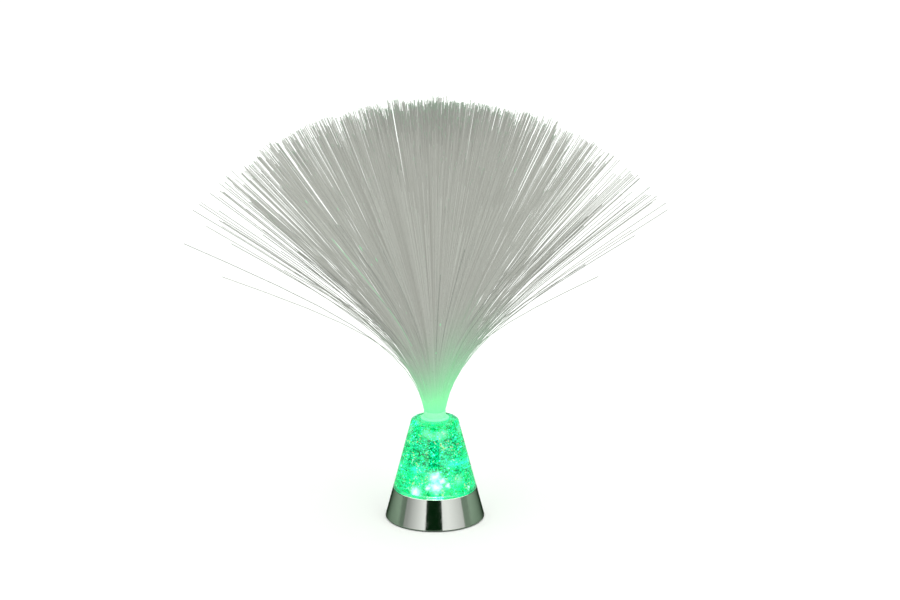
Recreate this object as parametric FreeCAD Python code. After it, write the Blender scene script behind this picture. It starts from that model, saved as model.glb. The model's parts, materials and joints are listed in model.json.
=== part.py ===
import FreeCAD, Part

import itertools
import math
import os

from FreeCAD import Vector

# Battery fibre optic table lamp: a plated cone-shaped base, a clear glitter vessel on it and a spray of fibres.
# The origin is the middle of the place where the lamp stands, +Z is up and the lamp's front faces -Y.
# All sizes are in millimetres. The base is sized around its three batteries, and the rest follows upward.
# What is out of sight inside the lamp has flat sides in place of round ones, which keeps the model light.

# Clearances.
slip_gap = 0.3
glue_gap = 0.1
fluid_gap = 0.05

# The cone that the base and the vessel share.
cone_half_angle = 14.6
side_room = 2.0
vessel_height = 54.4

# Plated base shell.
rim_lift = 0.8
shell_wall = 1.8
shell_rim_width = 1.7
ledge_drop = 1.7
ledge_thickness = 1.5
ledge_width = 3.2
post_side = 5.4

# Bottom plate, the rubber pads it stands on and the screws behind them.
pad_stand = 1.3
pad_sink = 0.6
pad_radius = 3.4
pad_margin = 1.1
plate_thickness = 2.4
screw_shank_radius = 1.2
screw_head_radius = 2.3
screw_head_height = 1.0
screw_grip = 9.0

# Three AAA cells side by side along X, the tray around them and the strips that touch their ends.
cell_radius = 5.25
cell_body_length = 43.3
cell_nub_radius = 1.9
cell_nub_length = 1.0
cell_count = 3
cell_side_gap = 0.25
contact_room = 1.2
tray_wall = 1.2
contact_thickness = 0.4
contact_width = 7.0
contact_height = 7.6
contact_bow = 1.0

# Battery door, which comes straight down with its two captive screws.
door_thickness = 1.4
door_overlap = 1.3
door_ear_margin = 4.0
door_ear_width = 8.0
grip_groove_width = 1.0
grip_groove_depth = 0.5
grip_groove_length = 18.0
grip_groove_pitch = 3.0
grip_groove_count = 5
door_screw_radius = 1.1
door_screw_head_radius = 2.1
door_screw_head_height = 0.8
door_screw_length = 6.0
door_post_side = 5.6
door_post_height = 5.0

# Slide switch between the tray and the back of the shell.
switch_room = 5.0
switch_length = 11.0
switch_width = 5.4
switch_height = 4.6
switch_wall = 0.5
switch_travel = 3.0
knob_length = 3.6
knob_width = 2.2
knob_groove = 0.4
carriage_height = 1.6
carriage_margin = 0.5
finger_margin = 1.6
finger_depth = 0.9
fence_thickness = 0.9
fence_height = 2.2
terminal_length = 2.6
terminal_width = 1.4
terminal_thickness = 0.5
terminal_pitch = 3.2

# Circuit board on two ribs, with three light-emitting diodes in a triangle.
rib_height = 2.2
rib_width = 2.4
rib_length = 16.0
rib_spread = 15.0
board_length = 36.0
board_width = 26.0
board_thickness = 1.2
led_radius = 2.5
led_body_height = 8.6
led_circle_radius = 3.5
led_stand = 1.0
led_leg_width = 0.5
led_leg_pitch = 2.54
led_leg_end = 0.6
chip_length = 5.0
chip_width = 4.0
chip_height = 1.5
chip_x = -10.5
chip_y = 0.0
resistor_length = 3.2
resistor_width = 1.6
resistor_height = 0.7
resistor_x = 9.5
resistor_pitch = 3.2
resistor_count = 3
wire_width = 1.1
wire_bow = 1.6

# White reflector dish between the board and the vessel.
dish_room = 2.1
dish_thickness = 1.0
dish_leg_width = 2.0
dish_leg_x = 13.5
dish_leg_y = 10.0
dish_hole_gap = 0.6

# Clear vessel with a blind socket in its roof, and its glued floor with a light well.
vessel_wall = 3.6
vessel_roof = 3.2
vessel_edge = 1.2
spigot_wall = 1.4
floor_thickness = 3.0
well_wall = 1.4
well_height = 7.0
socket_wall = 1.9
socket_floor = 1.5
filler_radius = 2.2
filler_offset = 18.0

# Fibre plug: a translucent collar whose flange rests on the vessel.
plug_radius = 8.8
plug_depth = 12.2
flange_radius = 10.75
flange_thickness = 1.2
neck_radius = 8.3
neck_height = 5.0
neck_wall = 0.7
root_recess = 0.8

# The spray of fibres.
fibre_arms = 4
fibre_rings = 57
fibre_width = 0.6
bundle_edge_gap = 0.6
fibre_length = 240.0
length_spread = 0.015
main_lean = 45.7
main_lean_power = 1.42
stray_lean = 15.0
stray_lean_power = 25.0
start_lean = 4.0
lean_wander = 1.2
bend_length = 48.0
bend_growth = 1.0
path_steps = 60
low_bend = 0.15
high_bend = 0.4
bent_share = 0.78
core_share = 0.5
middle_share = 0.8

# Numbers of flat sides on what is out of sight.
wide_sides = 48
middle_sides = 24
small_sides = 12
shank_sides = 6


# Basic shapes.


def box(x0, x1, y0, y1, z0, z1):
    """Box between two corners."""
    return Part.makeBox(x1 - x0, y1 - y0, z1 - z0, Vector(x0, y0, z0))


def block(length, width, z0, z1, x=0.0, y=0.0):
    """Upright block of this length along X and width along Y about a middle point."""
    return box(x - length / 2, x + length / 2, y - width / 2, y + width / 2, z0, z1)


def rod(radius, z0, z1, x=0.0, y=0.0):
    """Upright round bar."""
    return Part.makeCylinder(radius, z1 - z0, Vector(x, y, z0))


def polygon_face(corners):
    """Flat face through these corners."""
    return Part.Face(Part.makePolygon(list(corners) + [corners[0]]))


def flat_rod(sides, radius, z0, z1, x=0.0, y=0.0):
    """Upright bar with flat sides and its corners on a circle."""
    return flat_stack(sides, [(radius, z0), (radius, z1)], x, y)


def flat_stack(sides, rings, x=0.0, y=0.0):
    """Upright solid with flat sides through rings of (corner radius, height), from the lowest up."""
    turns = [2 * math.pi * k / sides for k in range(sides)]
    levels = [[Vector(x + r * math.cos(t), y + r * math.sin(t), z) for t in turns] for r, z in rings]
    faces = [polygon_face(levels[0]), polygon_face(levels[-1])]
    for low, high in zip(levels, levels[1:]):
        for a in range(sides):
            b = (a + 1) % sides
            faces.append(polygon_face((low[a], low[b], high[b], high[a])))
    return Part.makeSolid(Part.makeShell(faces))


def turned(points):
    """Solid of revolution about Z from a closed outline of (radius, height) points."""
    outline = Part.makePolygon([Vector(r, 0, z) for r, z in points + [points[0]]])
    return Part.Face(outline).revolve(Vector(0, 0, 0), Vector(0, 0, 1), 360)


def mitred_bar(places, normal, sides, width, first=None):
    """Thin bar along straight runs in one plane, with this many sides; the runs meet in mitres.

    Normal is square to that plane. First is the direction that the bar's lower end faces, if not its first run.
    """
    runs = [(b - a).normalize() for a, b in zip(places, places[1:])]
    before = [first or runs[0]] + runs
    after = runs + [runs[-1]]
    radius = width / (2 * math.sin(math.pi / sides))
    sections = []
    for k, place in enumerate(places):
        facing = before[k] if k == 0 else before[k] + after[k]
        side = normal.cross(facing).normalize()
        side = side * (1 / side.dot(normal.cross(after[k])))
        turns = [math.pi / sides + 2 * math.pi * n / sides for n in range(sides)]
        sections.append([place - side * (radius * math.cos(t)) + normal * (radius * math.sin(t)) for t in turns])
    faces = [polygon_face(sections[0]), polygon_face(sections[-1])]
    for low, high in zip(sections, sections[1:]):
        for a in range(sides):
            b = (a + 1) % sides
            faces.append(polygon_face((low[a], low[b], high[b], high[a])))
    return Part.makeSolid(Part.makeShell(faces))


def polar(radius, degrees):
    """Point (x, y) on a circle."""
    return radius * math.cos(math.radians(degrees)), radius * math.sin(math.radians(degrees))


# Heights, from the table up.
plate_bottom = pad_stand
plate_top = plate_bottom + plate_thickness
door_top = plate_bottom + door_thickness
cell_axis_z = door_top + slip_gap + cell_radius
tray_roof_bottom = cell_axis_z + cell_radius + slip_gap
tray_roof_top = tray_roof_bottom + tray_wall
board_bottom = tray_roof_top + rib_height
board_top = board_bottom + board_thickness
dish_bottom = board_top + dish_room
dish_top = dish_bottom + dish_thickness
ledge_top = dish_top + slip_gap
ledge_bottom = ledge_top - ledge_thickness
base_height = ledge_top + ledge_drop
body_height = base_height + vessel_height
led_bottom = board_top + led_stand
led_top = led_bottom + led_body_height
floor_bottom = ledge_top + glue_gap
floor_top = floor_bottom + floor_thickness
well_top = floor_top + well_height
plug_bottom = body_height - plug_depth
flange_top = body_height + flange_thickness
neck_top = flange_top + neck_height
socket_bottom = plug_bottom - slip_gap
socket_outer_bottom = socket_bottom - socket_floor
cavity_top = body_height - vessel_roof
root_top = neck_top - root_recess

# The battery tray in plan.
cell_pitch = 2 * cell_radius + cell_side_gap
cell_length = cell_body_length + cell_nub_length
tray_half_x = cell_length / 2 + contact_room
tray_half_y = cell_count * cell_pitch / 2 + cell_side_gap
tray_outer_x = tray_half_x + tray_wall
tray_outer_y = tray_half_y + tray_wall
cell_rows = [(i - (cell_count - 1) / 2) * cell_pitch for i in range(cell_count)]

# The cone, which clears the tray's corners.
cone_slope = math.tan(math.radians(cone_half_angle))
stand_radius = math.hypot(tray_outer_x, tray_outer_y) + side_room + shell_wall + cone_slope * tray_roof_top


def cone_radius(z):
    """Outer radius of the base and the vessel at height z."""
    return stand_radius - cone_slope * z


# Radii, from the outside in.
rim_opening = cone_radius(base_height) - shell_rim_width
ledge_opening = rim_opening - ledge_width
plate_radius = cone_radius(plate_top) - shell_wall - slip_gap
spigot_radius = rim_opening - glue_gap
floor_seat = spigot_radius - spigot_wall
floor_radius = floor_seat - glue_gap
well_inner_radius = led_circle_radius + led_radius + slip_gap
well_outer_radius = well_inner_radius + well_wall
socket_radius = plug_radius + slip_gap
socket_outer_radius = socket_radius + socket_wall
bore_radius = neck_radius - neck_wall
root_radius = bore_radius - glue_gap
bundle_radius = root_radius - bundle_edge_gap

# Places on the bottom plate.
pad_circle_radius = plate_radius - pad_radius - pad_margin
pad_places = [polar(pad_circle_radius, quarter * 90 + 45) for quarter in range(4)]
screw_bottom = plate_bottom + pad_sink
screw_seat = screw_bottom + screw_head_height
screw_top = screw_seat + screw_grip
door_half_x = tray_half_x + door_overlap
door_half_y = tray_half_y + door_overlap
door_ear_end = plate_radius - door_ear_margin
door_screw_x = (tray_outer_x + door_ear_end) / 2
door_screw_seat = plate_bottom + door_screw_head_height
door_screw_top = door_screw_seat + door_screw_length
switch_y = tray_outer_y + switch_room + switch_width / 2
slot_middle = switch_travel / 2
slot_length = knob_length + switch_travel + 2 * slip_gap
slot_width = knob_width + 2 * slip_gap


# The base.


def make_base_shell():
    """Plated cone with an inner ledge for the vessel and four screw posts."""
    shell = turned(
        [
            (0, rim_lift),
            (cone_radius(rim_lift), rim_lift),
            (cone_radius(base_height), base_height),
            (0, base_height),
        ]
    )
    room = flat_stack(wide_sides, [(cone_radius(z) - shell_wall, z) for z in (rim_lift, ledge_bottom)])
    for x, y in pad_places:
        post = block(post_side, post_side, plate_top, ledge_bottom, x, y)
        shaft = flat_rod(shank_sides, screw_shank_radius, plate_top, screw_top + slip_gap, x, y)
        room = room.cut(post).fuse(shaft)
    shell = shell.cut(room)
    shell = shell.cut(flat_rod(wide_sides, ledge_opening, ledge_bottom, ledge_top))
    return shell.cut(flat_rod(wide_sides, rim_opening, ledge_top, base_height))


def make_bottom_plate():
    """Black plate that closes the base: battery tray, door recess, switch slot, screw posts and board ribs."""
    plate = rod(plate_radius, plate_bottom, plate_top)
    plate = plate.fuse(block(2 * tray_outer_x, 2 * tray_outer_y, plate_bottom, tray_roof_top))
    for side in (-1, 1):
        post_top = plate_top + door_post_height
        plate = plate.fuse(block(door_post_side, door_post_side, plate_top, post_top, side * door_screw_x, 0))
        plate = plate.fuse(block(rib_width, rib_length, tray_roof_top, board_bottom, side * rib_spread, 0))
    plate = plate.cut(block(2 * tray_half_x, 2 * tray_half_y, plate_bottom, tray_roof_bottom))
    plate = plate.cut(door_outline(slip_gap, plate_bottom, door_top))
    for side in (-1, 1):
        x = side * door_screw_x
        plate = plate.cut(flat_rod(small_sides, door_screw_radius + slip_gap, door_top, door_screw_top + slip_gap, x, 0))
    for x, y in pad_places:
        plate = plate.cut(flat_rod(small_sides, pad_radius + 2 * glue_gap, plate_bottom, screw_seat, x, y))
        plate = plate.cut(flat_rod(shank_sides, screw_shank_radius + slip_gap, screw_seat, plate_top, x, y))
    finger_top = plate_bottom + finger_depth
    finger_length = slot_length + 2 * finger_margin
    finger_width = slot_width + 2 * finger_margin
    plate = plate.cut(block(finger_length, finger_width, plate_bottom, finger_top, slot_middle, switch_y))
    plate = plate.cut(block(slot_length, slot_width, plate_bottom, plate_top, slot_middle, switch_y))
    fence_middle = switch_length / 2 + glue_gap + fence_thickness / 2
    for side in (-1, 1):
        x = slot_middle + side * fence_middle
        plate = plate.fuse(block(fence_thickness, switch_width, plate_top, plate_top + fence_height, x, switch_y))
    for side, row_y in ((-1, cell_rows[0]), (1, cell_rows[-1])):
        x = side * (tray_half_x + tray_wall / 2)
        notch_width = wire_width + 2 * slip_gap
        notch_bottom = cell_axis_z - notch_width / 2
        plate = plate.cut(block(tray_wall, notch_width, notch_bottom, notch_bottom + notch_width, x, row_y))
    return plate.removeSplitter()


def make_rubber_pads():
    """Four round pads that the lamp stands on; they cover the screws."""
    top = plate_bottom + pad_sink - glue_gap
    return Part.makeCompound([flat_rod(middle_sides, pad_radius, 0, top, x, y) for x, y in pad_places])


def make_screw(head_radius, shank_radius, bottom, seat, top, x, y):
    """Screw that goes in from below."""
    head = flat_rod(small_sides, head_radius, bottom, seat, x, y)
    return head.fuse(flat_rod(shank_sides, shank_radius, seat, top, x, y))


def make_base_screws():
    """Four screws that hold the plate to the shell's posts."""
    screws = []
    for x, y in pad_places:
        shank = screw_shank_radius - glue_gap
        screws.append(make_screw(screw_head_radius, shank, screw_bottom, screw_seat, screw_top, x, y))
    return Part.makeCompound(screws)


# The battery compartment.


def door_outline(grow, z0, z1):
    """Outline of the battery door with its two screw ears, grown by a gap."""
    panel = block(2 * (door_half_x + grow), 2 * (door_half_y + grow), z0, z1)
    ears = block(2 * (door_ear_end + grow), door_ear_width + 2 * grow, z0, z1)
    return panel.fuse(ears).removeSplitter()


def make_battery_door():
    """Flat door with a screw ear at each end and a row of grip grooves."""
    door = door_outline(0, plate_bottom, door_top)
    for side in (-1, 1):
        x = side * door_screw_x
        head_room = door_screw_head_radius + glue_gap
        door = door.cut(flat_rod(small_sides, head_room, plate_bottom, door_screw_seat, x, 0))
        door = door.cut(flat_rod(shank_sides, door_screw_radius + glue_gap, door_screw_seat, door_top, x, 0))
    for k in range(grip_groove_count):
        x = (k - (grip_groove_count - 1) / 2) * grip_groove_pitch
        groove_top = plate_bottom + grip_groove_depth
        door = door.cut(block(grip_groove_width, grip_groove_length, plate_bottom, groove_top, x, 0))
    return door


def make_door_screws():
    """Two captive screws in the door's ears."""
    screws = []
    for side in (-1, 1):
        x = side * door_screw_x
        bottom = plate_bottom + glue_gap
        screws.append(
            make_screw(door_screw_head_radius, door_screw_radius, bottom, door_screw_seat, door_screw_top, x, 0)
        )
    return Part.makeCompound(screws)


def make_cell(row):
    """One AAA cell along X; the rows point to and fro."""
    body = flat_rod(middle_sides, cell_radius, 0, cell_body_length)
    cell = body.fuse(flat_rod(small_sides, cell_nub_radius, cell_body_length, cell_length))
    direction = 1 if row % 2 == 0 else -1
    cell.rotate(Vector(0, 0, 0), Vector(0, 1, 0), 90 * direction)
    cell.translate(Vector(-direction * cell_length / 2, cell_rows[row], cell_axis_z))
    return cell


def make_contacts(side):
    """Spring strips at one end of the tray, bowed towards the cells' flat ends and straight at their nubs."""
    strips = []
    wall_x = side * (tray_half_x - glue_gap)
    inner_x = wall_x - side * contact_thickness
    face_x = side * (cell_length / 2 + glue_gap)
    for row, row_y in enumerate(cell_rows):
        bow = contact_bow if (side > 0) != (row % 2 == 0) else contact_bow / 2
        z0 = cell_axis_z - contact_height / 2
        z1 = cell_axis_z + contact_height / 2
        corners = [
            Vector(wall_x, row_y - contact_width / 2, z0),
            Vector(wall_x, row_y - contact_width / 2, z1),
            Vector(inner_x, row_y - contact_width / 2, z1),
            Vector(face_x, row_y - contact_width / 2, cell_axis_z + bow),
            Vector(face_x, row_y - contact_width / 2, cell_axis_z - bow),
            Vector(inner_x, row_y - contact_width / 2, z0),
        ]
        strips.append(polygon_face(corners).extrude(Vector(0, contact_width, 0)))
    return Part.makeCompound(strips)


def make_battery_lead(side, row_y):
    """Wire from the last contact out through its notch, up beside the tray and in to the board."""
    wire_z = board_top + wire_width
    turn_x = side * (tray_outer_x + wire_bow)
    solder_x = side * (board_length / 2 - wire_width)
    places = [
        Vector(side * (tray_half_x - glue_gap), row_y, cell_axis_z),
        Vector(turn_x, row_y, cell_axis_z),
        Vector(turn_x, row_y, wire_z),
        Vector(solder_x, row_y, wire_z),
        Vector(solder_x, row_y, board_top),
    ]
    return mitred_bar(places, Vector(0, 1, 0), 4, wire_width)


# The switch.


def make_switch_housing():
    """Metal can of the slide switch, open below, with three terminals on top."""
    room_top = plate_top + carriage_height + slip_gap
    can_top = plate_top + switch_height
    can = block(switch_length, switch_width, plate_top, can_top, slot_middle, switch_y)
    inner_length = switch_length - 2 * switch_wall
    inner_width = switch_width - 2 * switch_wall
    can = can.cut(block(inner_length, inner_width, plate_top, room_top, slot_middle, switch_y))
    for k in (-1, 0, 1):
        x = slot_middle + k * terminal_pitch
        can = can.fuse(block(terminal_thickness, terminal_width, can_top, can_top + terminal_length, x, switch_y))
    return can.removeSplitter()


def make_switch_slider():
    """Carriage and thumb knob of the switch; at rest it stands at ON and slides to OFF along +X."""
    carriage_width = switch_width - 2 * switch_wall - 2 * slip_gap
    carriage_length = knob_length + 2 * carriage_margin
    low = plate_bottom + glue_gap
    seat = plate_top + glue_gap
    knob = block(carriage_length, carriage_width, seat, plate_top + carriage_height, 0, switch_y)
    knob = knob.fuse(block(knob_length, knob_width, low, seat, 0, switch_y))
    for k in (-1, 0, 1):
        knob = knob.cut(block(knob_groove, knob_width, low, low + knob_groove, k * knob_length / 4, switch_y))
    return knob.removeSplitter()


def make_switch_leads():
    """Two wires from the switch's terminals over to the board."""
    wire_z = board_top + wire_width
    solder_y = board_width / 2 - wire_width
    leads = []
    for k in (-1, 0):
        x = slot_middle + k * terminal_pitch
        places = [
            Vector(x, switch_y, plate_top + switch_height + terminal_length),
            Vector(x, switch_y, wire_z),
            Vector(x, solder_y, wire_z),
            Vector(x, solder_y, board_top),
        ]
        leads.append(mitred_bar(places, Vector(1, 0, 0), 4, wire_width))
    return Part.makeCompound(leads)


# The light.


def led_legs(index, width, z0, z1):
    """The two legs of one diode, or with a larger width their holes."""
    turn = index * 120 + 90
    x, y = polar(led_circle_radius, turn)
    legs = []
    for side in (-1, 1):
        dx, dy = polar(side * led_leg_pitch / 2, turn + 90)
        legs.append(block(width, width, z0, z1, x + dx, y + dy))
    return legs


def make_led_board():
    """Board with square holes for the diodes' legs."""
    board = block(board_length, board_width, board_bottom, board_top)
    for index in range(3):
        for hole in led_legs(index, led_leg_width + 2 * glue_gap, board_bottom, board_top):
            board = board.cut(hole)
    return board


def make_led(index):
    """One diode with a tapered dome and two legs through the board."""
    x, y = polar(led_circle_radius, index * 120 + 90)
    dome_bottom = led_top - led_radius
    dome_middle = led_top - led_radius / 3
    middle_radius = led_radius * 0.75
    top_radius = led_radius * 0.3
    rings = [(led_radius, led_bottom), (led_radius, dome_bottom), (middle_radius, dome_middle), (top_radius, led_top)]
    led = flat_stack(small_sides, rings, x, y)
    for leg in led_legs(index, led_leg_width, board_bottom - led_leg_end, led_bottom):
        led = led.fuse(leg)
    return led


def make_control_chip():
    """Packaged controller that fades the diodes from colour to colour."""
    return block(chip_length, chip_width, board_top, board_top + chip_height, chip_x, chip_y)


def make_resistors():
    """Small resistors soldered on the board, one for each diode."""
    places = [(k - (resistor_count - 1) / 2) * resistor_pitch for k in range(resistor_count)]
    top = board_top + resistor_height
    return Part.makeCompound([block(resistor_length, resistor_width, board_top, top, resistor_x, y) for y in places])


def make_reflector():
    """White dish under the vessel, with a hole for the diodes and four legs on the board."""
    dish = flat_rod(wide_sides, ledge_opening - slip_gap, dish_bottom, dish_top)
    dish = dish.cut(flat_rod(middle_sides, well_inner_radius + dish_hole_gap, dish_bottom, dish_top))
    for x in (-dish_leg_x, dish_leg_x):
        for y in (-dish_leg_y, dish_leg_y):
            dish = dish.fuse(block(dish_leg_width, dish_leg_width, board_top, dish_bottom, x, y))
    return dish.removeSplitter()


# The glitter vessel.


def cavity(gap):
    """The vessel's inside, drawn in by a gap."""
    heights = (floor_top + gap, cavity_top - gap)
    return flat_stack(wide_sides, [(cone_radius(z) - vessel_wall - gap, z) for z in heights])


def make_vessel():
    """Clear thick-walled cone with a spigot below and a blind socket hanging from its roof."""
    vessel = turned(
        [
            (0, base_height),
            (cone_radius(base_height) - glue_gap, base_height),
            (cone_radius(body_height - vessel_edge), body_height - vessel_edge),
            (cone_radius(body_height) - vessel_edge, body_height),
            (0, body_height),
        ]
    )
    vessel = vessel.fuse(flat_rod(wide_sides, spigot_radius, ledge_top, base_height))
    vessel = vessel.cut(flat_rod(wide_sides, floor_seat, ledge_top, floor_top))
    socket_wall_rod = flat_rod(middle_sides, socket_outer_radius, socket_outer_bottom, cavity_top)
    vessel = vessel.cut(cavity(0).cut(socket_wall_rod))
    return vessel.cut(flat_rod(middle_sides, socket_radius, socket_bottom, body_height))


def make_vessel_floor():
    """Clear disc glued into the vessel, with a well over the diodes and a filling hole."""
    floor = flat_rod(wide_sides, floor_radius, floor_bottom, floor_top)
    floor = floor.fuse(flat_rod(middle_sides, well_outer_radius, floor_top, well_top))
    floor = floor.cut(flat_rod(middle_sides, well_inner_radius, floor_bottom, well_top - well_wall))
    return floor.cut(flat_rod(small_sides, filler_radius + glue_gap, floor_bottom, floor_top, filler_offset, 0))


def make_filler_plug():
    """Rubber stopper in the floor's filling hole."""
    return flat_rod(small_sides, filler_radius, floor_bottom, floor_top, filler_offset, 0)


def make_glitter_fluid():
    """The clear fluid that carries the glitter and fills the vessel."""
    fluid = cavity(fluid_gap)
    socket_space = flat_rod(
        middle_sides, socket_outer_radius + fluid_gap, socket_outer_bottom - fluid_gap, cavity_top
    )
    well_space = flat_rod(middle_sides, well_outer_radius + fluid_gap, floor_top, well_top + fluid_gap)
    return fluid.cut(socket_space).cut(well_space)


# The fibre bundle.


def make_bundle_plug():
    """Translucent collar: plug, flange and neck in one turned piece with a through bore."""
    collar = turned(
        [
            (0, plug_bottom),
            (plug_radius, plug_bottom),
            (plug_radius, body_height),
            (flange_radius, body_height),
            (flange_radius, flange_top),
            (neck_radius, flange_top),
            (neck_radius, neck_top),
            (0, neck_top),
        ]
    )
    return collar.cut(flat_rod(middle_sides, bore_radius, plug_bottom, neck_top))


def make_fibre_root():
    """Fused and polished lower end of the bundle, which takes in the light."""
    return flat_rod(middle_sides, root_radius, plug_bottom, root_top)


def wander(ring, salt):
    """Repeatable number from -1 to 1 for one ring of fibres."""
    return 2 * math.modf(abs(math.sin(ring * 12.9898 + salt * 78.233)) * 43758.5453)[0] - 1


def fibre_stops(share):
    """Shares of its length at which a fibre is bent; the outer ones bend more."""
    return (low_bend, 1.0) if share < bent_share else (low_bend, high_bend, 1.0)


def fibre_path(ring):
    """How far out the fibres of a ring stand, and radius and height of their bends.

    Each fibre leaves the root nearly upright, bends outward by its own weight and spring, and then runs straight.
    """
    share = math.sqrt((ring + 0.5) / fibre_rings)
    step = fibre_length * (1 + length_spread * wander(ring, 1)) / path_steps
    lean = main_lean * share**main_lean_power + stray_lean * share**stray_lean_power
    lean += lean_wander * wander(ring, 2)
    bend = bend_length * (1 + bend_growth * (1 - share))
    stops = [round(stop * path_steps) for stop in fibre_stops(share)]
    r, z = bundle_radius * share, root_top
    points = [(r, z)]
    for k in range(1, path_steps + 1):
        angle = math.radians(start_lean * share + lean * (1 - math.exp(-(k - 0.5) * step / bend)))
        r += step * math.sin(angle)
        z += step * math.cos(angle)
        if k in stops:
            points.append((r, z))
    return share, points


def make_fibre(ring, arm):
    """One three-sided fibre in its own upright plane; the root is packed as a sunflower's seeds, in equal arms."""
    turn = math.radians((ring * 180 * (3 - math.sqrt(5)) + arm * 360) / fibre_arms)
    outward = Vector(math.cos(turn), math.sin(turn), 0)
    across = Vector(-math.sin(turn), math.cos(turn), 0)
    up = Vector(0, 0, 1)
    share, points = fibre_path(ring)
    places = [outward * r + up * z for r, z in points]
    return share, mitred_bar(places, across, 3, fibre_width, up)


def make_fibre_groups():
    """The fibres in three groups, by how far out they stand."""
    groups = {"fibres_core": [], "fibres_middle": [], "fibres_outer": []}
    for ring, arm in itertools.product(range(fibre_rings), range(fibre_arms)):
        share, fibre = make_fibre(ring, arm)
        inner = "fibres_core" if share < core_share else "fibres_middle"
        groups[inner if share < middle_share else "fibres_outer"].append(fibre)
    return {name: Part.makeCompound(fibres) for name, fibres in groups.items()}


def write(name, shape):
    """Writes one sub-part and says how large it is."""
    shape.exportStep(os.path.join("parts", name + ".step"))
    print(name, "solids", len(shape.Solids), "volume", round(shape.Volume, 1), "valid", shape.isValid())


os.makedirs("parts", exist_ok=True)
print("base radius", round(stand_radius, 2), "base height", round(base_height, 2), "body height", round(body_height, 2))
write("base_shell", make_base_shell())
write("bottom_plate", make_bottom_plate())
write("base_screws", make_base_screws())
write("rubber_pads", make_rubber_pads())
write("battery_door", make_battery_door())
write("door_screws", make_door_screws())
for row in range(cell_count):
    write(f"battery_{row + 1}", make_cell(row))
write("contacts_left", make_contacts(-1))
write("contacts_right", make_contacts(1))
write("battery_lead_black", make_battery_lead(-1, cell_rows[0]))
write("battery_lead_red", make_battery_lead(1, cell_rows[-1]))
write("switch_housing", make_switch_housing())
write("switch_slider", make_switch_slider())
write("switch_leads", make_switch_leads())
write("led_board", make_led_board())
for index, colour in enumerate(("green", "red", "blue")):
    write("led_" + colour, make_led(index))
write("control_chip", make_control_chip())
write("resistors", make_resistors())
write("reflector", make_reflector())
write("vessel", make_vessel())
write("vessel_floor", make_vessel_floor())
write("filler_plug", make_filler_plug())
write("glitter_fluid", make_glitter_fluid())
write("bundle_plug", make_bundle_plug())
write("fibre_root", make_fibre_root())
for name, group in make_fibre_groups().items():
    write(name, group)
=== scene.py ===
# %% [markdown]
# # Fiber optic lamp
# A battery table lamp. A cone-shaped plated base carries a clear cone filled with glitter fluid, and a wide
# spray of thin plastic fibres stands in a collar on top. Three diodes under the vessel light it all green.
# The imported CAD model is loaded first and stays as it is: it is the frame that every new piece is fitted to.
# %% Load the frame
import json
import math
import random

import bpy
import numpy as np
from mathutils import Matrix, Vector


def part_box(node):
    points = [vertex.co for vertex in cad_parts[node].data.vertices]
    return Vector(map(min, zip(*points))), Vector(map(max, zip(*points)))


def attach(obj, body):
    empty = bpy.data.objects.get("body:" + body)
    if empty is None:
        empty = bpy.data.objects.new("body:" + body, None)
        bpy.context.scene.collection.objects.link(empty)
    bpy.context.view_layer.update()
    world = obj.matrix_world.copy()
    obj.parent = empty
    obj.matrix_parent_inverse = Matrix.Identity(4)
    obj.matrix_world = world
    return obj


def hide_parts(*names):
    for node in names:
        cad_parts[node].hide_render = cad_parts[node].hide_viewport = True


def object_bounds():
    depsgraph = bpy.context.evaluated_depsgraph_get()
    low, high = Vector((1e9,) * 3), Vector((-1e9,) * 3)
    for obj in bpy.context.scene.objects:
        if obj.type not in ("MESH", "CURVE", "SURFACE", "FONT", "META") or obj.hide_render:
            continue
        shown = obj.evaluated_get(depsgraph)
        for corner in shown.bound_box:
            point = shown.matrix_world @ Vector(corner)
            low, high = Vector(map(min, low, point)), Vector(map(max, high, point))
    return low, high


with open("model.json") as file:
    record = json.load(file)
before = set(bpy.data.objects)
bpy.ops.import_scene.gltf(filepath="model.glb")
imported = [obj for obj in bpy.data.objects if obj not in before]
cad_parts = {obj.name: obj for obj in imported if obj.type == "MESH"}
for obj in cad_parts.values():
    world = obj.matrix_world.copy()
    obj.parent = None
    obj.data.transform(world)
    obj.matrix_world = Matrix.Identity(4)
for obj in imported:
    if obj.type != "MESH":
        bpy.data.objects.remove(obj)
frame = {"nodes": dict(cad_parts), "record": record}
cad_low, cad_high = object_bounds()
MM = 0.001
print("CAD box in mm:", [round((b - a) / MM, 1) for a, b in zip(cad_low, cad_high)])

# %% [markdown]
# ## The camera
# The photograph looks a little down on the lamp from far away. The base's foot, the seam and the vessel's top
# are three circles that show as ellipses, and their flatness and size give the tilt and a long 100 mm lens.
# %% Place the camera
CAMERA_PLACE = (0.0115, -1.8004, 0.6630)
CAMERA_TILT = math.radians(74.7)
bpy.ops.object.select_all(action="DESELECT")
bpy.ops.object.camera_add(location=CAMERA_PLACE, rotation=(CAMERA_TILT, 0.0, 0.0))
camera = bpy.context.object
camera.name = "photo_camera"
camera.data.lens = 100.0
bpy.context.scene.camera = camera
print("camera at", tuple(round(c, 3) for c in camera.location))

# %% [markdown]
# ## Helpers for colour and nodes
# Colours are given as sRGB hex values, but a shader works in linear light, so one function turns one
# into the other. A second function adds a node of any kind, sets it and links it, which keeps every finish
# short to read. A colour ramp's stops are a setting like any other, only that they are a list.
# %% Colour and node helpers
def linear(hex_code):
    """The linear colour, with alpha, of an sRGB hex value."""
    parts = [int(hex_code[i : i + 2], 16) / 255 for i in (1, 3, 5)]
    return (*[p / 12.92 if p <= 0.04045 else ((p + 0.055) / 1.055) ** 2.4 for p in parts], 1.0)


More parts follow.
